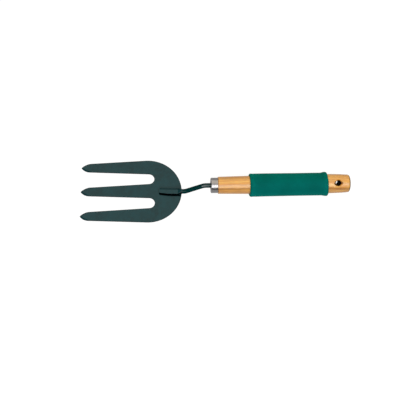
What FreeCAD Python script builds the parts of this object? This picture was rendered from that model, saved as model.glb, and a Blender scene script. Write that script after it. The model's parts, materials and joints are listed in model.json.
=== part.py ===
"""Three-tine hand fork: welded steel head and shank, ferrule, turned wooden handle, soft sleeve.

Units are millimetres. +X runs from the tines to the butt of the handle and +Z is up. The fork
lies flat on Z = 0, and X = 0 and Y = 0 are the middle of its bounding box.
"""
import FreeCAD, Part
import math
import os

V = FreeCAD.Vector
ORIGIN = V(0, 0, 0)
ALONG = V(1, 0, 0)
ACROSS = V(0, 1, 0)
UP = V(0, 0, 1)

# Lengths along the tool
HEAD_LENGTH = 121.65
ROD_EXPOSED = 34.4
FERRULE_LENGTH = 8.6
WOOD_LENGTH = 159.6
TIP_ROUND = 0.7
TIP_LOSS = 0.16  # what TIP_ROUND takes off the length of the head
OVERALL = HEAD_LENGTH - TIP_LOSS + ROD_EXPOSED + FERRULE_LENGTH + WOOD_LENGTH

TIP_X = -OVERALL / 2 - TIP_LOSS
BACK_X = TIP_X + HEAD_LENGTH
FERRULE_X = BACK_X + ROD_EXPOSED
WOOD_X = FERRULE_X + FERRULE_LENGTH
BUTT_X = OVERALL / 2

# Head: three tapered tines cut from one sheet
SHEET = 2.0
TINE_PITCH = 31.7
TINES = ((TINE_PITCH, 1.0), (0, 0.5), (-TINE_PITCH, 0))  # Y, and how much shorter than the longest
TINE_TAPER = math.radians(2.88)
POINT_LENGTH = 9.8
POINT_HALF = 5.48
SLOT_DEPTH = 88.95
EDGE_ROUND = 0.5
BEVEL_SLOPE = 38.0
BEVEL_INSET = 0.65
BEVEL_REACH = 6.0

# Rod: flattened foot on the sheet, crank, straight tang in the wood
ROD_R = 2.8
FOOT_FRONT = V(TIP_X + 94.45, -1.0, SHEET)
FOOT_SKEW = math.radians(3.6)
FOOT_LENGTH = 22.4
FOOT_TAIL = 4.4
FOOT_HALF_HEIGHT = 1.6
FOOT_FRONT_HALF = 3.1
FOOT_REAR_HALF = 3.75
FOOT_CORNER = 0.3
FOOT_BELLY = 0.6  # how far the -Y side bulges, FOOT_BELLY_AT along the foot
FOOT_BELLY_AT = 10.0
CRANK_START_X = BACK_X + 3.8
CRANK_END_X = FERRULE_X - 8.2
BEND_R = 12.0
TANG_LENGTH = 62.0
TANG_CHAMFER = 1.0

# Welds
SIDE_BEAD_R = 1.25
SIDE_BEAD_START = 4.0
SIDE_BEAD_LENGTH = 16.0
HEEL_BEAD_R = 2.1
HEEL_BEAD_Z = 2.6

# Handle and ferrule, turned about an axis AXIS_Z above the ground
AXIS_Z = 14.6
FERRULE_R = 9.15
FERRULE_WALL = 0.9
FERRULE_MOUTH_R = 4.6
FERRULE_ROUND = 0.7
JOINT_GAP = 0.4
SPIGOT_R = FERRULE_R - FERRULE_WALL
SHOULDER_R = 10.2
SHOULDER_ROUND = 0.6
SWELL_R = 11.6
SWELL_X = BUTT_X - 27.9
BUTT_R = 10.6
BUTT_ROUND = 2.4

# Hanging hole, drilled across the handle and relieved at both mouths
HOLE_R = 3.35
HOLE_X = BUTT_X - 15.2
HOLE_ROLL = 30.5
HOLE_ASIDE = 1.6  # the drill misses the handle's axis by this much
RELIEF_HALF_LENGTH = 5.4
RELIEF_HALF_WIDTH = 4.1
RELIEF_DEPTH = 1.3

# Sleeve
GRIP_X = WOOD_X + 37.6
GRIP_LENGTH = 95.3
GRIP_R = 13.55
GRIP_LIP_R = 14.35
GRIP_LIP_LENGTH = 6.0
GRIP_ROUND = 1.4
GRIP_GAP = 0.15
GRIP_CUT_SLOPE = 1.2


def arc(start, middle, end):
    return Part.Arc(start, middle, end).toShape()


def line(start, end):
    return Part.LineSegment(start, end).toShape()


def is_upright(edge):
    """True for an edge that runs straight up."""
    box = edge.BoundBox
    return box.XLength < 1e-3 and box.YLength < 1e-3


# ---- head ----

def tine_half(x):
    """Half the width of a tine at station x."""
    return POINT_HALF + math.tan(TINE_TAPER) * (x - TIP_X - POINT_LENGTH)


def point_edges(y, setback):
    """The point of the tine centred on y: two arcs tangent to the tine's sides."""
    tip = V(TIP_X + setback, 0, 0)
    shoulder = tip + V(POINT_LENGTH, tine_half(tip.x + POINT_LENGTH), 0)
    reach = tip - shoulder
    inward = V(math.sin(TINE_TAPER), -math.cos(TINE_TAPER), 0)
    radius = reach.dot(reach) / (2 * reach.dot(inward))
    centre = shoulder + inward * radius
    bisector = (shoulder - centre) + (tip - centre)
    middle = centre + bisector * (radius / bisector.Length)
    across = V(0, y, 0)
    low_middle, low_shoulder = V(middle.x, -middle.y, 0), V(shoulder.x, -shoulder.y, 0)
    return [
        arc(shoulder + across, middle + across, tip + across),
        arc(tip + across, low_middle + across, low_shoulder + across),
    ]


def slot_edge(y):
    """The round end of the slot centred on y, tangent to the tines on both sides."""
    end_x = TIP_X + SLOT_DEPTH
    half_gap = TINE_PITCH / 2 - tine_half(end_x)
    radius = math.cos(TINE_TAPER) * half_gap / (1 - math.sin(TINE_TAPER))
    x = end_x - radius + radius * math.sin(TINE_TAPER)
    side = radius * math.cos(TINE_TAPER)
    return arc(V(x, y + side, 0), V(end_x, y, 0), V(x, y - side, 0))


def back_edge():
    """The round back of the head, tangent to the outer sides of the outer tines."""
    reach = math.cos(TINE_TAPER) * (TINE_PITCH + tine_half(BACK_X))
    radius = reach / (1 + math.sin(TINE_TAPER))
    x = BACK_X - radius - radius * math.sin(TINE_TAPER)
    side = radius * math.cos(TINE_TAPER)
    return arc(V(x, -side, 0), V(BACK_X, 0, 0), V(x, side, 0))


def head_outline():
    """Round back, points and slot ends in order, joined by the straight sides of the tines."""
    curves = [back_edge()]
    for y, setback in TINES:
        curves += point_edges(y, setback)
        if y > -TINE_PITCH:
            curves.append(slot_edge(y - TINE_PITCH / 2))
    edges = []
    for this, following in zip(curves, curves[1:] + curves[:1]):
        edges.append(this)
        start, end = this.lastVertex(True).Point, following.firstVertex(True).Point
        if start.distanceToPoint(end) > 1e-6:
            edges.append(line(start, end))
    return Part.Wire(edges)


def bevel_cutters():
    """Blocks whose sloped undersides grind two facets on the top of every point."""
    chord_length = math.hypot(POINT_LENGTH, POINT_HALF)
    heading = math.degrees(math.atan2(POINT_HALF, POINT_LENGTH))
    length = chord_length + 2 * BEVEL_REACH
    block = Part.makeBox(length, BEVEL_REACH, BEVEL_REACH, V(-BEVEL_REACH, 0, 0))
    block.rotate(ORIGIN, ALONG, -BEVEL_SLOPE)
    block.translate(V(0, -BEVEL_INSET, 0))
    block.rotate(ORIGIN, UP, heading)
    cutters = []
    for side in (block, block.mirror(ORIGIN, ACROSS)):
        for y, setback in TINES:
            cutter = side.copy()
            cutter.translate(V(TIP_X + setback, y, SHEET))
            cutters.append(cutter)
    return cutters


def make_fork_head():
    plate = Part.Face(head_outline()).extrude(V(0, 0, SHEET))
    tips = [e for e in plate.Edges if is_upright(e) and e.CenterOfMass.x < TIP_X + POINT_LENGTH / 2]
    plate = plate.makeFillet(TIP_ROUND, tips)
    rims = [e for e in plate.Edges if not is_upright(e)]
    plate = plate.makeFillet(EDGE_ROUND, rims)
    return plate.cut(bevel_cutters())


# ---- shank ----

def foot_heading():
    return V(math.cos(FOOT_SKEW), -math.sin(FOOT_SKEW), 0)


def foot_section(distance, belly=0.0):
    """Closed section of the shank, with eight edges: a round-cornered bar up to FOOT_LENGTH
    along the foot, wider by belly on its -Y side, and the round rod beyond it."""
    heading = foot_heading()
    sideways = UP.cross(heading)
    is_round = distance > FOOT_LENGTH
    half_height = ROD_R if is_round else FOOT_HALF_HEIGHT
    taper = (FOOT_REAR_HALF - FOOT_FRONT_HALF) / FOOT_LENGTH
    half_width = FOOT_FRONT_HALF + taper * distance + belly / 2
    corner = ROD_R if is_round else FOOT_CORNER
    middle = FOOT_FRONT + heading * distance - sideways * (belly / 2) + UP * half_height

    def point(degrees):
        """Point at this angle on the corner arc of its quarter."""
        c, s = math.cos(math.radians(degrees)), math.sin(math.radians(degrees))
        wide = 0 if is_round else math.copysign(half_width - corner, c)
        high = 0 if is_round else math.copysign(half_height - corner, s)
        return middle + sideways * (wide + corner * c) + UP * (high + corner * s)

    margin = 22.5 if is_round else 1e-6
    edges = []
    for quarter in (0, 90, 180, 270):
        start, end = quarter + margin, quarter + 90 - margin
        following = end + 2 * margin
        edges.append(arc(point(start), point(quarter + 45), point(end)))
        if is_round:
            edges.append(arc(point(end), point(quarter + 90), point(following)))
        else:
            edges.append(line(point(end), point(following)))
    return Part.Wire(edges)


def bent_path(points, radius):
    """Straight runs through the points, with an arc of the radius tangent to each pair."""
    edges, start = [], points[0]
    for before, corner, after in zip(points, points[1:], points[2:]):
        back = (before - corner).normalize()
        ahead = (after - corner).normalize()
        half_angle = back.getAngle(ahead) / 2
        reach = radius / math.tan(half_angle)
        inward = (back + ahead).normalize()
        middle = corner + inward * (radius / math.sin(half_angle) - radius)
        edges.append(line(start, corner + back * reach))
        edges.append(arc(corner + back * reach, middle, corner + ahead * reach))
        start = corner + ahead * reach
    edges.append(line(start, points[-1]))
    return Part.Wire(edges)


def make_shank():
    heading = foot_heading()
    foot_total = FOOT_LENGTH + FOOT_TAIL
    foot = Part.makeLoft([foot_section(0), foot_section(FOOT_BELLY_AT, FOOT_BELLY),
                          foot_section(FOOT_LENGTH), foot_section(foot_total)], True, True)
    rod_start = FOOT_FRONT + heading * foot_total + UP * ROD_R
    crank_start = rod_start + heading * ((CRANK_START_X - rod_start.x) / heading.x)
    crank_end = V(CRANK_END_X, 0, AXIS_Z)
    tang_end = V(WOOD_X + TANG_LENGTH, 0, AXIS_Z)
    path = bent_path([rod_start, crank_start, crank_end, tang_end], BEND_R)
    rod = path.makePipeShell([foot_section(foot_total)], True, True)
    tip = [e for e in rod.Edges if e.CenterOfMass.x > tang_end.x - 0.01]
    rod = rod.makeChamfer(TANG_CHAMFER, tip)
    return foot.fuse(rod).removeSplitter()


# ---- welds ----

def make_weld_beads(head, shank):
    """A bead along the +Y side of the foot and one under the rod at the back of the head."""
    heading = foot_heading()
    sideways = UP.cross(heading)
    side = FOOT_FRONT + heading * SIDE_BEAD_START + sideways * (FOOT_FRONT_HALF + 0.2)
    bead = Part.makeCylinder(SIDE_BEAD_R, SIDE_BEAD_LENGTH, side, heading)
    ends = [Part.makeSphere(SIDE_BEAD_R, side + heading * d) for d in (0, SIDE_BEAD_LENGTH)]
    side_bead = bead.fuse(ends).cut([head, shank])
    heel = FOOT_FRONT + heading * ((BACK_X - FOOT_FRONT.x) / heading.x)
    heel.z = HEEL_BEAD_Z
    heel_bead = Part.makeSphere(HEEL_BEAD_R, heel).cut([head, shank])
    return side_bead, heel_bead


# ---- handle, ferrule and sleeve: turned about the handle's axis ----

def turned(points_and_edges):
    """Solid of revolution of a closed outline drawn as X along the axis and Z as the radius."""
    face = Part.Face(Part.Wire(points_and_edges))
    solid = face.revolve(ORIGIN, ALONG, 360)
    solid.translate(V(0, 0, AXIS_Z))
    return solid


def station(x, radius):
    return V(x, 0, radius)


def outline(*points):
    """Straight edges through the points."""
    return [line(start, end) for start, end in zip(points, points[1:])]


def swell_bow(x):
    """Radius of the long arc that the side of the wood follows on this side of the swell."""
    if x < SWELL_X:
        reach, drop = SWELL_X - WOOD_X, SWELL_R - SHOULDER_R
    else:
        reach, drop = BUTT_X - SWELL_X, SWELL_R - BUTT_R
    return (reach * reach + drop * drop) / (2 * drop)


def swell_radius(x):
    """Radius of the wood at station x."""
    bow = swell_bow(x)
    return SWELL_R - bow + math.sqrt(bow * bow - (x - SWELL_X) ** 2)


def wood_arc(start_x, end_x, gap=0.0):
    """The side of the wood, or a line a gap outside it, on one side of the swell."""
    stations = (start_x, (start_x + end_x) / 2, end_x)
    return arc(*(station(x, swell_radius(x) + gap) for x in stations))


def rounded_corner(face_x, radius):
    """Arc from the side of the wood to its end face at face_x, and the points where it starts
    and ends."""
    outward = math.copysign(1, face_x - SWELL_X)
    lean = math.asin((face_x - SWELL_X) / swell_bow(face_x))
    side_x = face_x - outward * radius + radius * math.sin(lean)
    side = station(side_x, swell_radius(side_x))
    centre = side - V(math.sin(lean), 0, math.cos(lean)) * radius
    angle = (math.pi / 2 - abs(lean)) / 2
    middle = centre + V(outward * math.cos(angle), 0, math.sin(angle)) * radius
    end = V(face_x, 0, centre.z)
    return arc(side, middle, end), side, end


def is_outer_rim(edge):
    """True for the outer edge round either end of the sleeve."""
    box = edge.BoundBox
    at_an_end = box.XMax < GRIP_X + 0.01 or box.XMin > GRIP_X + GRIP_LENGTH - GRIP_LIP_LENGTH + 2.1
    return at_an_end and box.ZLength > 2 * GRIP_R - 0.5


def circles_at(shape, x):
    """The shape's edges that lie in the plane of station x."""
    return [e for e in shape.Edges if abs(e.CenterOfMass.x - x) < 0.01 and e.BoundBox.XLength < 0.1]


def across_handle(shape):
    """Turns a tool drawn upright at the origin to the line of the hanging hole."""
    turned_tool = shape.copy()
    turned_tool.translate(V(0, HOLE_ASIDE, 0))
    turned_tool.rotate(ORIGIN, ALONG, HOLE_ROLL)
    turned_tool.translate(V(HOLE_X, 0, AXIS_Z))
    return turned_tool


def ellipse_wire(half_length, half_width, z):
    curve = Part.Ellipse(V(half_length, 0, z), V(0, half_width, z), V(0, 0, z))
    return Part.Wire(curve.toShape())


def hole_cutters():
    """The drill, and the flared relief at each mouth, longer along the grain than across it."""
    surface = swell_radius(HOLE_X)
    drill = Part.makeCylinder(HOLE_R, 4 * surface, V(0, 0, -2 * surface))
    flare = Part.makeLoft([
        ellipse_wire(HOLE_R, HOLE_R - 0.01, surface - RELIEF_DEPTH),
        ellipse_wire(RELIEF_HALF_LENGTH, RELIEF_HALF_WIDTH, surface),
        ellipse_wire(2 * RELIEF_HALF_LENGTH - HOLE_R, 2 * RELIEF_HALF_WIDTH - HOLE_R,
                     surface + RELIEF_DEPTH),
    ], True, True)
    far_flare = flare.copy()
    far_flare.rotate(ORIGIN, ALONG, 180)
    return [across_handle(tool) for tool in (drill, flare, far_flare)]


def make_handle():
    spigot_x = FERRULE_X + FERRULE_WALL
    shoulder, shoulder_side, shoulder_end = rounded_corner(WOOD_X, SHOULDER_ROUND)
    butt, butt_side, butt_end = rounded_corner(BUTT_X, BUTT_ROUND)
    edges = outline(butt_end, station(BUTT_X, 0), station(spigot_x, 0),
                    station(spigot_x, SPIGOT_R), station(WOOD_X, SPIGOT_R), shoulder_end)
    edges += [shoulder, wood_arc(shoulder_side.x, SWELL_X), wood_arc(SWELL_X, butt_side.x), butt]
    wood = turned(edges)
    bore_length = WOOD_X + TANG_LENGTH - spigot_x
    bore = Part.makeCylinder(ROD_R, bore_length, V(spigot_x, 0, AXIS_Z), ALONG)
    return wood.cut([bore] + hole_cutters())


def make_ferrule():
    """A cap over the spigot, which stops just short of the wood's shoulder."""
    mouth_x = FERRULE_X + FERRULE_WALL
    rear_x = WOOD_X - JOINT_GAP
    edges = outline(station(FERRULE_X, FERRULE_MOUTH_R), station(FERRULE_X, FERRULE_R),
                    station(rear_x, FERRULE_R), station(rear_x, SPIGOT_R),
                    station(mouth_x, SPIGOT_R), station(mouth_x, FERRULE_MOUTH_R),
                    station(FERRULE_X, FERRULE_MOUTH_R))
    cap = turned(edges)
    rim = [e for e in circles_at(cap, FERRULE_X) if e.BoundBox.ZLength > 2 * SPIGOT_R]
    return cap.makeFillet(FERRULE_ROUND, rim)


def make_grip_sleeve():
    """The sleeve, with its rear end cut off a little askew so that the -Y side is longer."""
    rear_x = GRIP_X + GRIP_LENGTH
    lip_x = rear_x - GRIP_LIP_LENGTH
    edges = [wood_arc(GRIP_X, rear_x, GRIP_GAP)]
    edges += outline(station(rear_x, swell_radius(rear_x) + GRIP_GAP),
                     station(rear_x, GRIP_LIP_R), station(lip_x + 2, GRIP_LIP_R),
                     station(lip_x, GRIP_R), station(GRIP_X, GRIP_R),
                     station(GRIP_X, swell_radius(GRIP_X) + GRIP_GAP))
    sleeve = turned(edges)
    waste = Part.makeBox(4 * GRIP_R, 4 * GRIP_R, 4 * GRIP_R, V(0, -2 * GRIP_R, -2 * GRIP_R))
    waste.rotate(ORIGIN, UP, -GRIP_CUT_SLOPE)
    set_back = (GRIP_LIP_R + 0.2) * math.tan(math.radians(GRIP_CUT_SLOPE))
    waste.translate(V(rear_x - set_back, 0, AXIS_Z))
    sleeve = sleeve.cut(waste)
    outer = [e for e in sleeve.Edges if is_outer_rim(e)]
    return sleeve.makeFillet(GRIP_ROUND, outer)


def main():
    os.makedirs("parts", exist_ok=True)
    head = make_fork_head()
    shank = make_shank()
    pieces = {
        "fork_head": head,
        "shank": shank,
        "weld_beads": Part.makeCompound(make_weld_beads(head, shank)),
        "ferrule": make_ferrule(),
        "handle": make_handle(),
        "grip_sleeve": make_grip_sleeve(),
    }
    for name, shape in pieces.items():
        shape.exportStep(f"parts/{name}.step")
        box = shape.BoundBox
        print(f"{name}: {shape.Volume:.0f} mm3, valid {shape.isValid()}, solids {len(shape.Solids)}, "
              f"X {box.XMin:.1f} to {box.XMax:.1f}, Y {box.YMin:.1f} to {box.YMax:.1f}, "
              f"Z {box.ZMin:.1f} to {box.ZMax:.1f}")


main()
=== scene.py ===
import json
import math

import bpy
from mathutils import Matrix, Vector, noise


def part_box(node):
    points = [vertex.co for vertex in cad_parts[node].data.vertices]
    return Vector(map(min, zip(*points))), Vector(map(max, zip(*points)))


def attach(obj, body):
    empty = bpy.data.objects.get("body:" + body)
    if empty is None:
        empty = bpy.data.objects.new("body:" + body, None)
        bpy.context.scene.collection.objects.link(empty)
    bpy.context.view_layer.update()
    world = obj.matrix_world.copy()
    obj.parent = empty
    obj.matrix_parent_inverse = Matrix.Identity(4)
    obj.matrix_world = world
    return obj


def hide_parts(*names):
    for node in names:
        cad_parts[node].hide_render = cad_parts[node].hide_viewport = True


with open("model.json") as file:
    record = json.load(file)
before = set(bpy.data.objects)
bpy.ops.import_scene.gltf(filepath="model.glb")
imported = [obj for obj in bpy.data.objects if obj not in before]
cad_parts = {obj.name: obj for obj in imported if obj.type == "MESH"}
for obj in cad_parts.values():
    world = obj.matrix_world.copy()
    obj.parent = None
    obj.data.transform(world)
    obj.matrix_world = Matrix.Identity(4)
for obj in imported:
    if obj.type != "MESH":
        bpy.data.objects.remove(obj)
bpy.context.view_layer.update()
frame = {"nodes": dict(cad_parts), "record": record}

MM = 0.001
UP = Vector((0, 0, 1))

# Camera: looks down on the tool from its -Y side, leaning a little towards the tines
LOOK_AT = Vector((-9.7, -23.95, 2.0)) * MM
DISTANCE = 0.9
ELEVATION = math.radians(67.0)
LEAN = math.radians(4.6)
ROLL = math.radians(-1.0)
LENS = 64.9
SENSOR_WIDTH = 36.0

# Studio: a softbox on the camera's side of the tool, and a pale table
SOFTBOX_AT = (0.12, -0.864, 1.048)
SOFTBOX_SIZE = (1.6, 1.016)
SOFTBOX_WATTS = 16.6
TABLE_HALF = 6.0

# Green paint on the head, the foot and the rod; colours are linear
# PAINT is the plate's colour: the paint's own green with part of its grey-blue reflection of the
# pale wall painted in (painted reflection); the rod's own, darker colour is set in rod_enamel
PAINT = (0.0021, 0.0352, 0.0415)
# near-black painted shade for the foot's side faces and the crevice beside them
PAINTED_SHADE = (0.0, 0.0004, 0.0008)
PAINT_ROUGH = 0.36
PAINT_GLEAM = 0.32

# Wood: the width of a growth ring, and where the tree's pith lies beside the handle
RING_WIDTH = 2.1 * MM
PITH_Y = 0.046
PITH_Z = -0.031

# Foam sleeve
SLEEVE_RINGS = 190
SLEEVE_INNER_RINGS = 12
SLEEVE_SPOKES = 160
LIP_HEIGHT = 0.8 * MM
FRONT_ROUND = 1.7 * MM
REAR_ROUND = 1.9 * MM
CUT_SLOPE = math.tan(math.radians(1.2))
CUT_TILT = math.tan(math.radians(4.1))

# Weld beads
BEAD_ROWS = 90
BEAD_SPOKES = 36
FOOT_BEAD_REACH = 21 * MM
RIPPLE = 1.1 * MM
RIPPLE_HEIGHT = 0.07


def smooth(value, low, high):
    """0 below low, 1 above high and a smooth step in between."""
    t = min(1.0, max(0.0, (value - low) / (high - low)))
    return t * t * (3 - 2 * t)


# ---- materials ----

class Shader:
    """A procedural material: short calls that add nodes and wire them."""

    def __init__(self, name):
        self.material = bpy.data.materials.new(name)
        self.material.use_nodes = True
        self.tree = self.material.node_tree
        self.bsdf = self.tree.nodes["Principled BSDF"]
        coordinates = self.add("ShaderNodeTexCoord")
        self.place = coordinates.outputs["Object"]
        self.normal = coordinates.outputs["Normal"]

    def add(self, kind, **settings):
        node = self.tree.nodes.new(kind)
        for key, value in settings.items():
            setattr(node, key, value)
        return node

    def feed(self, socket, source):
        """Links a socket to the input, or sets it to a plain number or colour."""
        if isinstance(source, bpy.types.NodeSocket):
            self.tree.links.new(source, socket)
        else:
            socket.default_value = source

    def math(self, operation, first, second=0.0):
        node = self.add("ShaderNodeMath", operation=operation)
        self.feed(node.inputs[0], first)
        self.feed(node.inputs[1], second)
        return node.outputs[0]

    def vector(self, operation, first, second=(0, 0, 0)):
        node = self.add("ShaderNodeVectorMath", operation=operation)
        self.feed(node.inputs[0], first)
        self.feed(node.inputs[1], second)
        scalar = operation in ("LENGTH", "DOT_PRODUCT", "DISTANCE")
        return node.outputs["Value" if scalar else "Vector"]

    def parts(self, vector):
        node = self.add("ShaderNodeSeparateXYZ")
        self.feed(node.inputs[0], vector)
        return node.outputs

    def joined(self, x, y, z):
        node = self.add("ShaderNodeCombineXYZ")
        for socket, source in zip(node.inputs, (x, y, z)):
            self.feed(socket, source)
        return node.outputs[0]

    def noise(self, scale, detail=3.0, rough=0.5, stretch=(1, 1, 1), place=None):
        """Noise with this many cells a metre, drawn out by stretch."""
        place = self.vector("MULTIPLY", place or self.place, stretch)
        node = self.add("ShaderNodeTexNoise")
        self.feed(node.inputs["Vector"], place)
        node.inputs["Scale"].default_value = scale
        node.inputs["Detail"].default_value = detail
        node.inputs["Roughness"].default_value = rough
        return node.outputs["Fac"]

    def cells(self, scale):
        """Distance to the nearest of many scattered points."""
        node = self.add("ShaderNodeTexVoronoi")
        self.feed(node.inputs["Vector"], self.place)
        node.inputs["Scale"].default_value = scale
        return node.outputs["Distance"]

    def between(self, value, low, high, to_low=0.0, to_high=1.0, soft=False):
        """Maps low..high to to_low..to_high and clamps."""
        node = self.add("ShaderNodeMapRange", interpolation_type="SMOOTHSTEP" if soft else "LINEAR")
        for socket, source in zip(node.inputs, (value, low, high, to_low, to_high)):
            self.feed(socket, source)
        return node.outputs[0]

    def mix(self, amount, first, second):
        """Colour mix; colours are linear RGB triples or sockets."""
        node = self.add("ShaderNodeMix", data_type="RGBA")
        colours = [c for c in node.inputs if c.type == "RGBA"]
        self.feed(node.inputs[0], amount)
        for socket, colour in zip(colours, (first, second)):
            self.feed(socket, (*colour, 1.0) if isinstance(colour, tuple) else colour)
        return next(c for c in node.outputs if c.type == "RGBA")

    def bump(self, height, distance, strength=1.0, under=None):
        node = self.add("ShaderNodeBump")
        node.inputs["Strength"].default_value = strength
        node.inputs["Distance"].default_value = distance
        self.feed(node.inputs["Height"], height)
        if under:
            self.feed(node.inputs["Normal"], under)
        return node.outputs[0]

    def finish(self, **inputs):
        """Wires up the main shader's inputs, named with _ for a space; returns the material."""
        for name, source in inputs.items():
            self.feed(self.bsdf.inputs[name.replace("_", " ")], source)
        return self.material


def paint(name, peel):
    """Dark green paint: slightly uneven colour, orange peel of this depth, and faint scuffs.
    Returns the shader, its colour, roughness and normal, to be finished by the caller."""
    s = Shader(name)
    drift = s.noise(38.0, 4.0)
    speck = s.noise(1500.0, 2.0)
    mottle = s.noise(210.0, 3.0, 0.6)
    light = tuple(c * 1.22 + 0.001 for c in PAINT)
    dark = tuple(c * 0.78 for c in PAINT)
    colour = s.mix(s.between(drift, 0.32, 0.68), dark, light)
    colour = s.mix(s.between(mottle, 0.36, 0.64, 0.0, 0.7), colour, tuple(c * 1.42 for c in PAINT))
    colour = s.mix(s.between(speck, 0.52, 0.75, 0.0, 0.22), colour, tuple(c * 1.6 for c in PAINT))
    scuff = s.noise(90.0, 5.0, 0.7, stretch=(0.25, 2.2, 2.2))
    rough = s.math("ADD", s.between(drift, 0.3, 0.7, PAINT_ROUGH - 0.03, PAINT_ROUGH + 0.03),
                   s.between(scuff, 0.6, 0.75, 0.0, 0.09))
    normal = s.bump(s.noise(760.0, 2.0), peel)
    normal = s.bump(speck, peel * 0.3, under=normal)
    return s, colour, rough, normal


def band(s, line, inner, outer):
    """1 beside a bowed line on the plate, from inner to outer metres away on its own side."""
    start, end, side, bow = line
    length = (end - start).length
    along = (end - start).normalized()
    sideways = Vector((-along.y, along.x, 0)) * side
    from_start = s.vector("SUBTRACT", s.place, tuple(start))
    reach = s.vector("DOT_PRODUCT", from_start, tuple(along))
    aside = s.vector("DOT_PRODUCT", from_start, tuple(sideways))
    share = s.between(reach, 0.0, length)
    bowed = s.math("MULTIPLY", share, s.math("SUBTRACT", 1.0, share))
    aside = s.math("SUBTRACT", aside, s.math("MULTIPLY", bowed, 4 * bow))
    beside = s.math("MULTIPLY", s.between(aside, outer - 0.4 * MM, outer + 0.4 * MM, 1.0, 0.0),
                    s.between(aside, inner - 0.2 * MM, inner + 0.2 * MM))
    ends = s.math("MULTIPLY", s.between(reach, -0.2 * MM, 0.8 * MM, soft=True),
                  s.between(reach, length + 2 * MM, length + 6 * MM, 1.0, 0.5, soft=True))
    return s.math("MULTIPLY", beside, ends)


def powder_coat(front_line):
    """The head's paint, with painted shade on its edges and a painted shadow along the -Y side of
    the foot.
    """
    s, colour, rough, normal = paint("powder_coat", 0.05 * MM)
    # painted shade: darker on the plate's edges and side faces, where the surface turns away from
    # up
    rim = s.between(s.parts(s.normal)[2], 0.35, 0.93, 1.0, 0.0)
    colour = s.mix(s.math("MULTIPLY", rim, 0.75), colour, (0.0004, 0.0060, 0.0066))
    # painted shadow: near-black in the crevice along the foot's -Y side
    crevice_shadow = band(s, front_line, -0.4 * MM, 1.6 * MM)
    colour = s.mix(crevice_shadow, colour, PAINTED_SHADE)
    gleam = s.math("MULTIPLY", s.between(crevice_shadow, 0.0, 1.0, PAINT_GLEAM, 0.0),
                   s.between(rim, 0.0, 1.0, 1.0, 0.25))
    return s.finish(Base_Color=colour, Roughness=rough, Normal=normal, Specular_IOR_Level=gleam)


def rod_enamel(front_line, back_line):
    """The head's paint on the foot, with painted shade down its sides and a painted shadow along
    its +Y edge; darker along the rod, with a bright gleam past the upper bend."""
    s, colour, rough, normal = paint("rod_enamel", 0.02 * MM)
    x = s.parts(s.place)[0]
    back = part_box("fork_head")[1].x
    rod = s.between(x, back - 1.0 * MM, back + 2.0 * MM, soft=True)
    colour = s.mix(rod, colour, (0.0002, 0.0290, 0.0290))
    shade = band(s, back_line, -2.0 * MM, -0.1 * MM)
    colour = s.mix(s.math("MULTIPLY", shade, 0.5), colour, (0.0010, 0.0120, 0.0145))
    # painted shade: near-black on the foot's side faces
    slope = s.between(s.parts(s.normal)[2], 0.55, 0.9, 1.0, 0.0, soft=True)
    side = s.math("MULTIPLY", slope, s.math("SUBTRACT", 1.0, rod))
    colour = s.mix(side, colour, PAINTED_SHADE)
    rough = s.math("SUBTRACT", rough, s.math("MULTIPLY", rod, 0.23))
    edge_on = s.add("ShaderNodeLayerWeight").outputs["Facing"]
    round_off = s.between(s.math("MULTIPLY", rod, edge_on), 0.04, 0.15, 1.0, 0.07)
    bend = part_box("ferrule")[0].x - 11.5 * MM
    lit = s.between(x, bend - 2 * MM, bend + 2 * MM, 0.10, 0.95, soft=True)
    lit = s.math("MULTIPLY", lit, s.between(x, bend + 6 * MM, bend + 9 * MM, 1.0, 0.6))
    gleam = s.between(rod, 0.0, 1.0, PAINT_GLEAM, lit)
    gleam = s.math("MULTIPLY", gleam, s.math("SUBTRACT", 1.0, side))
    gleam = s.math("MULTIPLY", gleam, s.math("SUBTRACT", 1.0, s.math("MULTIPLY", shade, 0.6)))
    gleam = s.math("MULTIPLY", gleam, round_off)
    return s.finish(Base_Color=colour, Roughness=rough, Normal=normal, Specular_IOR_Level=gleam)


def plated_steel():
    """Dull nickel plate, with fine lines turned round it and light tarnish."""
    s = Shader("plated_steel")
    x = s.parts(s.place)[0]
    lines = s.noise(1.0, 3.0, 0.6, place=s.joined(s.math("MULTIPLY", x, 5200.0), 0.0, 0.0))
    cloud = s.noise(160.0, 4.0, 0.6)
    colour = s.mix(s.between(cloud, 0.35, 0.7), (0.42, 0.412, 0.414), (0.35, 0.342, 0.342))
    colour = s.mix(s.between(lines, 0.3, 0.75, 0.0, 0.35), colour, (0.25, 0.243, 0.243))
    rough = s.math("ADD", s.between(cloud, 0.3, 0.7, 0.21, 0.26),
                   s.between(lines, 0.3, 0.7, 0.0, 0.06))
    normal = s.bump(lines, 0.02 * MM)
    return s.finish(Base_Color=colour, Roughness=rough, Normal=normal, Metallic=1.0)


def wood_rings(s):
    """0 to 1 across each growth ring of straight-grained wood whose pith lies off the handle."""
    wander = s.noise(9.0, 2.0, stretch=(1.0, 0.3, 0.3))
    x, y, z = s.parts(s.place)[:3]
    aside = s.math("MULTIPLY", s.math("SUBTRACT", wander, 0.5), 6.0 * MM)
    y = s.math("ADD", s.math("ADD", y, aside), s.math("MULTIPLY", x, 0.012))
    from_pith = s.joined(0.0, s.math("ADD", y, -PITH_Y), s.math("ADD", z, -PITH_Z))
    rings = s.math("MULTIPLY", s.vector("LENGTH", from_pith), 1 / RING_WIDTH)
    rings = s.math("ADD", rings, s.math("MULTIPLY", s.noise(60.0, 2.0, stretch=(0.1, 1, 1)), 1.3))
    return s.math("FRACT", rings)


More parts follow.
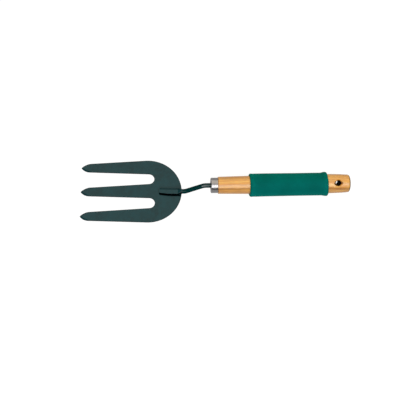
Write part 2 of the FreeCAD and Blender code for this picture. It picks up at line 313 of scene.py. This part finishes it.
def grain_colour(s, ring, fibre, streak, pore):
    """Pale yellow hardwood: growth rings, dark and light streaks, figure, fibres and pores."""
    late = s.math("MULTIPLY", s.between(ring, 0.35, 0.92, soft=True),
                  s.between(ring, 0.93, 1.0, 1.0, 0.0))
    figure = s.noise(300.0, 2.0, 0.5, stretch=(0.45, 1, 1))
    fleck = s.noise(900.0, 1.0, 0.4, stretch=(0.3, 1.6, 1.6))
    colour = s.mix(late, (0.980, 0.495, 0.079), (0.860, 0.360, 0.040))
    colour = s.mix(s.between(streak, 0.50, 0.72, 0.0, 0.75), colour, (0.640, 0.250, 0.025))
    colour = s.mix(s.between(streak, 0.46, 0.30, 0.0, 0.70), colour, (1.000, 0.595, 0.116))
    colour = s.mix(s.between(figure, 0.52, 0.70, 0.0, 0.40), colour, (0.740, 0.375, 0.088))
    colour = s.mix(s.between(fibre, 0.48, 0.72, 0.0, 0.36), colour, (0.520, 0.260, 0.062))
    colour = s.mix(s.between(pore, 0.60, 0.74, 0.0, 0.55), colour, (0.330, 0.155, 0.042))
    return s.mix(s.between(fleck, 0.62, 0.72, 0.0, 0.25), colour, (0.520, 0.295, 0.090))


def darker_side(s, colour):
    """The handle's -Y side: darker, with one darker band, paler again along the bottom (painted
    bounce light from the table), and set a little lower at the butt.
    """
    x, y = s.parts(s.place)[:2]
    end_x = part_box("handle")[1].x
    wander = s.math("MULTIPLY", s.math("SUBTRACT", s.noise(70.0, 2.0), 0.5), 2.2 * MM)
    lowered = s.between(x, end_x - 52 * MM, end_x - 12 * MM, 0.0, 1.3 * MM)
    y = s.math("ADD", s.math("ADD", y, wander), lowered)
    lower = s.between(y, -6.8 * MM, -8.2 * MM, soft=True)
    colour = s.mix(lower, colour, s.vector("MULTIPLY", colour, (0.76, 0.72, 0.80)))
    # painted bounce light: paler and bluer again along the bottom
    colour = s.mix(s.between(y, -8.8 * MM, -10.2 * MM), colour,
                   s.vector("MULTIPLY", colour, (1.10, 1.13, 1.20)))
    dark_band = s.math("MULTIPLY", lower, s.between(y, -8.4 * MM, -9.4 * MM, 1.0, 0.0, soft=True))
    return s.mix(dark_band, colour, s.vector("MULTIPLY", colour, (0.79, 0.71, 0.60)))


def butt_edge_and_rings(s, colour, facing_back, ring):
    """A brown line round the butt's rounded edge, and growth rings on its flat end."""
    # darker brown round the butt's rounded edge
    edge_brown = s.math("MULTIPLY", s.between(facing_back, 0.18, 0.48, soft=True),
                   s.between(facing_back, 0.90, 0.99, 1.0, 0.5))
    colour = s.mix(edge_brown, colour, (0.190, 0.104, 0.020))
    end_grain = s.math("MULTIPLY", s.between(facing_back, 0.85, 0.99),
                       s.between(ring, 0.2, 0.95, soft=True))
    return s.mix(s.math("MULTIPLY", end_grain, 0.6), colour, (0.300, 0.125, 0.022))


def drilled_hole(s, colour, hole):
    """A hole with painted shade inside, near-black at mid-depth and brown towards its mouths, and a
    brown rim, drawn out into a brown tail on the side of the butt.
    Returns the colour and the distance from the hole's axis."""
    centre, axis, radius = hole
    offset = s.vector("SUBTRACT", s.place, tuple(centre))
    away = s.vector("LENGTH", s.vector("CROSS_PRODUCT", offset, tuple(axis)))
    depth = s.math("ABSOLUTE", s.vector("DOT_PRODUCT", offset, tuple(axis)))
    past = s.parts(offset)[0]
    rim = s.math("MULTIPLY", s.between(away, radius, radius * 1.35, 1.0, 0.0), 0.5)
    behind = s.vector("SUBTRACT", offset, (radius * 0.82, 0, 0))
    behind = s.vector("CROSS_PRODUCT", behind, tuple(axis))
    behind = s.vector("LENGTH", s.vector("MULTIPLY", behind, (1.0, 0.62, 0.62)))
    tail = s.math("MULTIPLY", s.between(behind, 0.6 * MM, 2.7 * MM, 1.0, 0.0, soft=True),
                  s.between(past, 1.5 * MM, 3.0 * MM))
    colour = s.mix(s.math("MAXIMUM", rim, tail), colour, (0.200, 0.058, 0.008))
    # painted shade inside the hole: near-black at mid-depth, brown towards its mouths
    hole_shade = s.mix(s.between(depth, 6.5 * MM, 10.5 * MM),
                   (0.003, 0.001, 0.001), (0.150, 0.045, 0.006))
    return s.mix(s.between(away, radius, radius * 1.1, 1.0, 0.0), colour, hole_shade), away


def lacquered_wood(hole):
    """Hardwood under clear lacquer, which is worn off at the butt and round the hanging hole."""
    s = Shader("lacquered_wood")
    ring = wood_rings(s)
    fibre = s.noise(620.0, 4.0, 0.6, stretch=(0.018, 1, 1))
    streak = s.noise(400.0, 3.0, 0.6, stretch=(0.06, 1, 1))
    pore = s.noise(2100.0, 2.0, 0.5, stretch=(0.045, 1, 1))
    facing_back = s.parts(s.normal)[0]
    colour = darker_side(s, grain_colour(s, ring, fibre, streak, pore))
    colour = butt_edge_and_rings(s, colour, facing_back, ring)
    colour, from_hole = drilled_hole(s, colour, hole)

    radius = hole[2]
    bare = s.math("MAXIMUM", s.between(facing_back, 0.25, 0.65, soft=True),
                  s.between(from_hole, radius, radius * 1.5, 1.0, 0.0))
    rough = s.math("ADD", s.between(fibre, 0.3, 0.7, 0.36, 0.46), s.math("MULTIPLY", bare, 0.3))
    grain = s.math("ADD", s.math("MULTIPLY", fibre, 0.7), s.between(pore, 0.58, 0.72, 0.0, -0.8))
    normal = s.bump(grain, 0.035 * MM)
    normal = s.bump(streak, 0.10 * MM, under=normal)
    s.bsdf.inputs["Coat Roughness"].default_value = 0.23
    return s.finish(Base_Color=colour, Roughness=rough, Normal=normal,
                    Coat_Weight=s.between(bare, 0.0, 0.6, 0.60, 0.0),
                    Specular_IOR_Level=s.between(bare, 0.0, 1.0, 0.80, 0.03),
                    Specular_Tint=(0.30, 0.62, 1.0, 1.0))


def foam_rubber():
    """Closed-cell foam: matt green with fine pores, paler in patches at both ends (painted
    highlight on its rounded ends), bluer towards -Y (painted fill light) and paler towards its
    outline (painted sheen).
    """
    s = Shader("foam_rubber")
    drift = s.noise(46.0, 4.0, 0.6)
    cell = s.cells(1500.0)
    grit = s.noise(3200.0, 2.0)
    colour = s.mix(s.between(drift, 0.3, 0.7), (0.0000, 0.1150, 0.0870), (0.0000, 0.1500, 0.1140))
    x, y = s.parts(s.place)[:2]
    # painted fill light: bluer towards the -Y side
    colour = s.mix(s.between(y, 4 * MM, -6 * MM), colour,
                   s.vector("MULTIPLY", colour, (1.0, 1.0, 1.12)))
    colour = s.mix(s.between(cell, 0.0, 0.35, 0.35, 0.0), colour, (0.0000, 0.0700, 0.0580))
    low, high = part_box("grip_sleeve")
    ends = s.math("MAXIMUM", s.between(x, low.x + 3 * MM, low.x + 9 * MM, 1.0, 0.0, soft=True),
                  s.between(x, high.x - 8 * MM, high.x - 4 * MM, soft=True))
    # painted highlight: paler in patches on the rounded ends
    lip_highlight = s.math("MULTIPLY", ends, s.between(s.noise(260.0, 3.0, 0.6), 0.42, 0.62, 0.0, 0.7))
    colour = s.mix(lip_highlight, colour, s.vector("MULTIPLY", colour, (1.0, 1.35, 1.32)))
    colour = s.mix(s.between(x, high.x - 2.4 * MM, high.x - 1.0 * MM), colour,
                   s.vector("MULTIPLY", colour, (1.0, 0.72, 0.76)))
    # painted sheen: paler where the surface turns edge-on
    edge_sheen = s.between(s.add("ShaderNodeLayerWeight").outputs["Facing"], 0.15, 0.85)
    colour = s.mix(edge_sheen, colour, s.vector("MULTIPLY", colour, (1.0, 1.50, 1.48)))
    rough = s.math("ADD", s.between(drift, 0.3, 0.7, 0.55, 0.66),
                   s.between(grit, 0.3, 0.7, 0.0, 0.08))
    normal = s.bump(cell, 0.08 * MM, 0.6)
    normal = s.bump(grit, 0.03 * MM, 0.6, under=normal)
    return s.finish(Base_Color=colour, Roughness=rough, Normal=normal, Specular_IOR_Level=0.02)


def dress(piece, material):
    piece.data.materials.clear()
    piece.data.materials.append(material)


# ---- pieces built here ----

def new_piece(name, points, faces):
    mesh = bpy.data.meshes.new(name)
    mesh.from_pydata(points, [], faces)
    mesh.validate()
    mesh.polygons.foreach_set("use_smooth", [True] * len(mesh.polygons))
    piece = bpy.data.objects.new(name, mesh)
    bpy.context.scene.collection.objects.link(piece)
    return piece


def closed_grid(rows, columns):
    """Faces of a grid that closes on itself both ways."""
    faces = []
    for i in range(rows):
        for j in range(columns):
            following, beside = (i + 1) % rows, (j + 1) % columns
            faces.append((i * columns + j, i * columns + beside,
                          following * columns + beside, following * columns + j))
    return faces


def sleeve_radius(reach, length, body, lip, share):
    """Outer radius of the foam at a distance from its front end; share is how much of the rear
    lip shows on this side."""
    behind = length - reach
    radius = body + 0.06 * MM * math.sin(reach * 61 + 0.6)
    radius -= 0.10 * MM * math.exp(-((reach - 4.6 * MM) / (1.5 * MM)) ** 2)
    radius += 0.08 * MM * math.exp(-((reach - 2.2 * MM) / (1.2 * MM)) ** 2)
    radius -= 0.04 * MM * math.exp(-((behind - 9.4 * MM) / (1.2 * MM)) ** 2)
    radius += (lip - body + 0.15 * MM) * share * smooth(-behind, -8.4 * MM, -2.6 * MM)
    front = max(0.0, 1 - reach / FRONT_ROUND)
    back = max(0.0, 1 - behind / REAR_ROUND)
    radius -= FRONT_ROUND * (1 - math.sqrt(1 - front * front))
    return radius - REAR_ROUND * (1 - math.sqrt(1 - back * back))


def sleeve_point(reach, angle, radius, low, high):
    """A point of the sleeve: swollen unevenly on the outside, its rear end cut off askew."""
    length = high.x - low.x
    lip = (high.z - low.z) / 2
    body = lip - LIP_HEIGHT
    side, rise = math.cos(angle), math.sin(angle)
    outer = smooth(radius, body - 2.4 * MM, body - 1.2 * MM)
    spot = Vector((reach * 26, side * 1.3, rise * 1.3))
    uneven = noise.noise(spot) * 0.08 + noise.noise(spot * 4.1) * 0.03
    flare = 0.25 * (1 - smooth(reach, 0, 22 * MM)) * smooth(-side, -0.2, 0.9)
    swollen = radius + outer * (uneven + flare + 0.20) * MM
    askew = smooth(reach, length - 26 * MM, length - 5 * MM)
    cut = (swollen * side + lip) * CUT_SLOPE + swollen * rise * CUT_TILT
    drawn_back = 0.25 * (1 - side) * MM * (1 - smooth(reach, 2 * MM, 20 * MM))
    axis_z = (low.z + high.z) / 2
    return (low.x + reach - askew * cut + drawn_back,
            swollen * side - outer * 0.40 * MM, axis_z + swollen * rise)


def build_sleeve(handle):
    """The foam sleeve: rings of points along its outside, then back through the inside."""
    low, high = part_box("grip_sleeve")
    axis_z = (low.z + high.z) / 2
    lip = (high.z - low.z) / 2
    length = high.x - low.x
    wood = [v.co for v in handle.data.vertices]
    inner_front = inner_radius(wood, low.x, axis_z)
    inner_back = inner_radius(wood, high.x, axis_z)
    points = []
    rows = SLEEVE_RINGS + SLEEVE_INNER_RINGS
    for i in range(rows):
        outside = i < SLEEVE_RINGS
        turn = 0.5 - 0.5 * math.cos(math.pi * i / (SLEEVE_RINGS - 1))
        back = (rows - 1 - i) / (SLEEVE_INNER_RINGS - 1)
        reach = (turn if outside else back) * length
        for j in range(SLEEVE_SPOKES):
            angle = 2 * math.pi * j / SLEEVE_SPOKES
            radius = inner_front + (inner_back - inner_front) * back
            if outside:
                share = 0.88 + 0.12 * math.cos(angle)
                radius = sleeve_radius(reach, length, lip - LIP_HEIGHT, lip, share)
            points.append(sleeve_point(reach, angle, radius, low, high))
    piece = new_piece("grip_foam", points, closed_grid(rows, SLEEVE_SPOKES))
    dress(piece, foam_rubber())
    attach(piece, "root")
    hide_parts("grip_sleeve")


def inner_radius(points, x, axis_z):
    """Radius of the wood near station x, with the sleeve's small gap."""
    near = sorted(points, key=lambda p: abs(p.x - x))[:40]
    radii = [math.hypot(p.y, p.z - axis_z) for p in near]
    return max(radii) + 0.12 * MM


def build_welds(beads):
    """Rippled beads where the CAD's plain ones are: along the foot and under the rod's heel."""
    points = [v.co.copy() for v in beads.data.vertices]
    low = min(p.x for p in points)
    side = [p for p in points if p.x < low + FOOT_BEAD_REACH]
    heel = [p for p in points if p.x >= low + FOOT_BEAD_REACH]
    plate_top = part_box("fork_head")[1].z
    radius = max(p.z for p in side) - plate_top
    far = max(p.x for p in side)
    start_y = max(p.y for p in side if p.x < low + 2 * radius) - radius
    end_y = max(p.y for p in side if p.x > far - 2 * radius) - radius
    start = Vector((low + radius, start_y, plate_top))
    end = Vector((far - radius, end_y, plate_top))
    make_ripples("foot_weld", start, end, radius)
    ys = [p.y for p in heel]
    heel_radius = (max(ys) - min(ys)) / 2
    centre = Vector((max(p.x for p in heel) - heel_radius, (max(ys) + min(ys)) / 2,
                     min(p.z for p in heel) + heel_radius))
    half_run = Vector((0, 0.3 * MM, 0))
    make_ripples("heel_weld", centre - half_run, centre + half_run, heel_radius - 0.1 * MM)


def bead_points(start, end, radius):
    """Points round the line from start to end, with rounded ends and curved ripples."""
    along = end - start
    length = along.length
    along.normalize()
    sideways = UP.cross(along)
    points = [start - along * radius]
    for i in range(1, BEAD_ROWS):
        reach = -radius + (length + 2 * radius) * i / BEAD_ROWS
        over = max(0.0, -reach, reach - length)
        round_off = math.sqrt(max(0.0, 1 - (over / radius) ** 2))
        for j in range(BEAD_SPOKES):
            angle = 2 * math.pi * j / BEAD_SPOKES
            lag = 0.5 * RIPPLE * math.cos(angle) ** 2
            wave = math.cos(2 * math.pi * (reach + lag) / RIPPLE)
            spot = (start + along * reach) * 700 + Vector((math.cos(angle), math.sin(angle), 0))
            size = radius * round_off * (1 - RIPPLE_HEIGHT + RIPPLE_HEIGHT * wave)
            size *= 1 + 0.10 * noise.noise(spot)
            offset = sideways * math.cos(angle) + UP * math.sin(angle)
            points.append(start + along * reach + offset * size)
    points.append(end + along * radius)
    return points


def bead_faces():
    """Faces between the rings of bead_points, and a fan at each end."""
    faces = []
    for i in range(BEAD_ROWS - 2):
        for j in range(BEAD_SPOKES):
            beside = (j + 1) % BEAD_SPOKES
            a, b = 1 + i * BEAD_SPOKES, 1 + (i + 1) * BEAD_SPOKES
            faces.append((a + j, a + beside, b + beside, b + j))
    last = 1 + (BEAD_ROWS - 1) * BEAD_SPOKES
    for j in range(BEAD_SPOKES):
        beside = (j + 1) % BEAD_SPOKES
        faces.append((0, 1 + beside, 1 + j))
        faces.append((last, last - BEAD_SPOKES + j, last - BEAD_SPOKES + beside))
    return faces


def make_ripples(name, start, end, radius):
    """A closed, painted weld bead from start to end."""
    piece = new_piece(name, bead_points(start, end, radius), bead_faces())
    dress(piece, bpy.data.materials["rod_enamel"])
    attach(piece, "root")
    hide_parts("weld_beads")


# ---- studio ----

def add_camera():
    back = Vector((-math.tan(LEAN), -1 / math.tan(ELEVATION), 1)).normalized()
    right = Vector((1, 0, 0))
    right = (right - back * right.dot(back)).normalized()
    up = back.cross(right)
    turned_right = right * math.cos(ROLL) + up * math.sin(ROLL)
    turned_up = up * math.cos(ROLL) - right * math.sin(ROLL)
    camera = bpy.data.objects.new("camera", bpy.data.cameras.new("camera"))
    camera.data.lens = LENS
    camera.data.sensor_width = SENSOR_WIDTH
    camera.data.clip_start = 0.01
    camera.matrix_world = Matrix.Translation(LOOK_AT + back * DISTANCE) @ Matrix(
        (turned_right, turned_up, back)).transposed().to_4x4()
    bpy.context.scene.collection.objects.link(camera)
    bpy.context.scene.camera = camera


def add_softbox():
    """A large soft light aimed at the middle of the tool."""
    light = bpy.data.lights.new("softbox", "AREA")
    light.shape = "RECTANGLE"
    light.size, light.size_y = SOFTBOX_SIZE
    light.energy = SOFTBOX_WATTS
    lamp = bpy.data.objects.new("softbox", light)
    lamp.location = SOFTBOX_AT
    lamp.rotation_euler = (-Vector(SOFTBOX_AT)).to_track_quat("-Z", "Y").to_euler()
    lamp.visible_camera = False
    bpy.context.scene.collection.objects.link(lamp)


def add_floor():
    """A table that looks white but throws only a grey bounce on the tool, darkest on the
    softbox's side."""
    corners = [(-TABLE_HALF, -TABLE_HALF, 0), (TABLE_HALF, -TABLE_HALF, 0),
               (TABLE_HALF, TABLE_HALF, 0), (-TABLE_HALF, TABLE_HALF, 0)]
    floor = new_piece("floor", corners, [(0, 1, 2, 3)])
    s = Shader("floor")
    away = s.vector("LENGTH", s.place)
    glow = s.between(away, 0.35, 2.5, 0.86, 1.03, soft=True)
    seen = s.add("ShaderNodeLightPath").outputs["Is Camera Ray"]
    near = s.between(s.parts(s.place)[1], -0.25, -0.07, soft=True)
    bounce = s.between(near, 0.0, 1.0, 0.05, 0.38)
    glow = s.math("MAXIMUM", glow, s.between(near, 0.0, 1.0, 1.03, 0.86))
    shown = s.math("MULTIPLY", glow, s.between(seen, 0, 1, bounce, 1.0))
    s.bsdf.inputs["Emission Color"].default_value = (1, 1, 1, 1)
    colour = s.mix(near, (0.05, 0.05, 0.05), (0.25, 0.25, 0.25))
    dress(floor, s.finish(Base_Color=colour, Roughness=0.9, Specular_IOR_Level=0.0,
                          Emission_Strength=shown))


class Tree(Shader):
    """The same short calls on the world's nodes."""

    def __init__(self, world):
        world.use_nodes = True
        self.tree = world.node_tree
        self.place = self.add("ShaderNodeTexCoord").outputs["Generated"]


def add_world():
    """White behind the object; for light and reflections a dim room with a pale wall towards +Y."""
    world = bpy.data.worlds.new("studio")
    bpy.context.scene.world = world
    s = Tree(world)
    x, y, z = s.parts(s.place)[:3]
    wall = s.between(y, -0.30, 0.10, soft=True)
    aside = s.math("ABSOLUTE", x)
    wall = s.math("MULTIPLY", wall, s.between(aside, 0.35, 0.68, 1.0, 0.0, soft=True))
    wall = s.math("MULTIPLY", wall, s.between(z, 0.1, 0.85, 0.30, 1.0, soft=True))
    room = s.between(wall, 0.0, 1.0, 0.09, 1.20)
    seen = s.add("ShaderNodeLightPath").outputs["Is Camera Ray"]
    colour = s.mix(seen, s.mix(wall, (0.98, 0.97, 1.0), (1.0, 0.92, 0.80)), (1.0, 1.0, 1.0))
    strength = s.add("ShaderNodeMix")
    s.feed(strength.inputs[0], seen)
    s.feed(strength.inputs[2], room)
    strength.inputs[3].default_value = 1.02
    background = s.tree.nodes["Background"]
    s.feed(background.inputs["Strength"], strength.outputs[0])
    s.feed(background.inputs["Color"], colour)


def foot_line(shank, side):
    """Start and end of the foot's long lower edge on the +Y or -Y side, that side, and how far
    the edge bows out between them."""
    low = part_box("shank")[0]
    points = [v.co for v in shank.data.vertices if v.co.z < low.z + 0.1 * MM]
    front = [p for p in points if p.x < low.x + 2 * MM]
    start = max(front, key=lambda p: p.y * side)
    beyond = [p for p in points if start.x + 15 * MM < p.x < start.x + 30 * MM]
    end = max(beyond, key=lambda p: p.y * side - 0.01 * p.x)
    middle = [p for p in points if start.x + 6 * MM < p.x < start.x + 14 * MM]
    along = (end - start).normalized()
    bulges = [side * (along.x * (p.y - start.y) - along.y * (p.x - start.x)) for p in middle]
    return start.copy(), end.copy(), side, max([0.0] + bulges)


def dress_cad_nodes(nodes):
    hole = next(m for m in frame["record"]["mounts"] if m["name"] == "hang_hole")
    placed = (hole["pos_m"], hole["axis"], hole["dims"]["r_mm"] * MM)
    front_line = foot_line(nodes["shank"], -1)
    dress(nodes["fork_head"], powder_coat(front_line))
    dress(nodes["shank"], rod_enamel(front_line, foot_line(nodes["shank"], 1)))
    dress(nodes["ferrule"], plated_steel())
    dress(nodes["handle"], lacquered_wood(placed))


def main():
    bpy.context.scene.view_settings.view_transform = "Standard"
    nodes = frame["nodes"]
    dress_cad_nodes(nodes)
    build_sleeve(nodes["handle"])
    build_welds(nodes["weld_beads"])
    add_camera()
    add_softbox()
    add_floor()
    add_world()


main()
